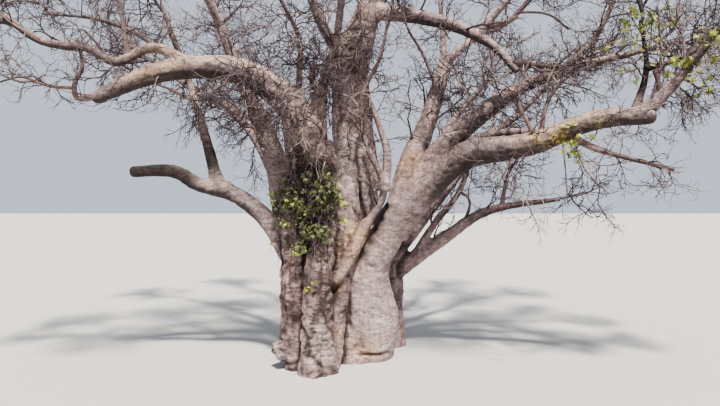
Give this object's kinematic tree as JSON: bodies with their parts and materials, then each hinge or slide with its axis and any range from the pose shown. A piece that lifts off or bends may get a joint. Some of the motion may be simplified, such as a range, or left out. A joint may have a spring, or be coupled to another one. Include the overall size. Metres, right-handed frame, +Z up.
{
  "type": "baobab tree",
  "caption": "Wide, nearly leafless baobab with a thick fused trunk, tapering boughs and masses of fine bare twigs, rooted in level ground.",
  "frame": {"origin": "on level ground, in the middle of the flat cut under the trunk", "axes": "+X to the right and +Y away from someone who faces the tree's front, +Z up"},
  "size_m": [31.6308, 26.1166, 23.8306],
  "materials": {
    "bark": "matt grey-pink bark",
    "twigs": "matt bare twigs",
    "young_leaves": "matt twigs with young leaves"
  },
  "bodies": {
    "root": {"bough_back_far_left": "bark", "bough_back_far_right": "bark", "bough_back_left": "bark", "bough_back_low": "bark", "bough_back_right": "bark", "bough_back_rising": "bark", "bough_front_left": "bark", "bough_front_right": "bark", "bough_front_top": "bark", "bough_leader": "bark", "bough_left_back": "bark", "bough_left_far": "bark", "bough_left_high": "bark", "bough_left_low": "bark", "bough_left_rising": "bark", "bough_left_spray": "bark", "bough_low_up": "bark", "bough_middle_up": "bark", "bough_right_bare": "bark", "bough_right_crown": "bark", "bough_right_far": "bark", "bough_right_high": "bark", "bough_right_high_fork": "bark", "bough_right_low": "bark", "bough_right_middle": "bark", "bough_right_upright": "bark", "bough_slender": "bark", "bough_top_back": "bark", "bough_top_left": "bark", "bough_upright_left": "bark", "bough_upright_right": "bark", "shoots_lower": "young_leaves", "shoots_upper": "young_leaves", "trunk": "bark", "twigs_back_far_left": "twigs", "twigs_back_far_right": "twigs", "twigs_back_left": "twigs", "twigs_back_low": "twigs", "twigs_back_right": "twigs", "twigs_front_left": "twigs", "twigs_front_right": "twigs", "twigs_front_top": "twigs", "twigs_leader": "twigs", "twigs_left_back": "twigs", "twigs_left_far": "twigs", "twigs_left_high": "twigs", "twigs_left_rising": "twigs", "twigs_left_spray": "twigs", "twigs_low_up": "young_leaves", "twigs_middle_up": "twigs", "twigs_right_crown": "twigs", "twigs_right_far": "young_leaves", "twigs_right_high": "twigs", "twigs_right_high_fork": "twigs", "twigs_right_middle": "twigs", "twigs_slender": "twigs", "twigs_top_back": "twigs", "twigs_top_left": "twigs", "twigs_upright_left": "twigs", "twigs_upright_right": "twigs"}
  },
  "joints": []
}
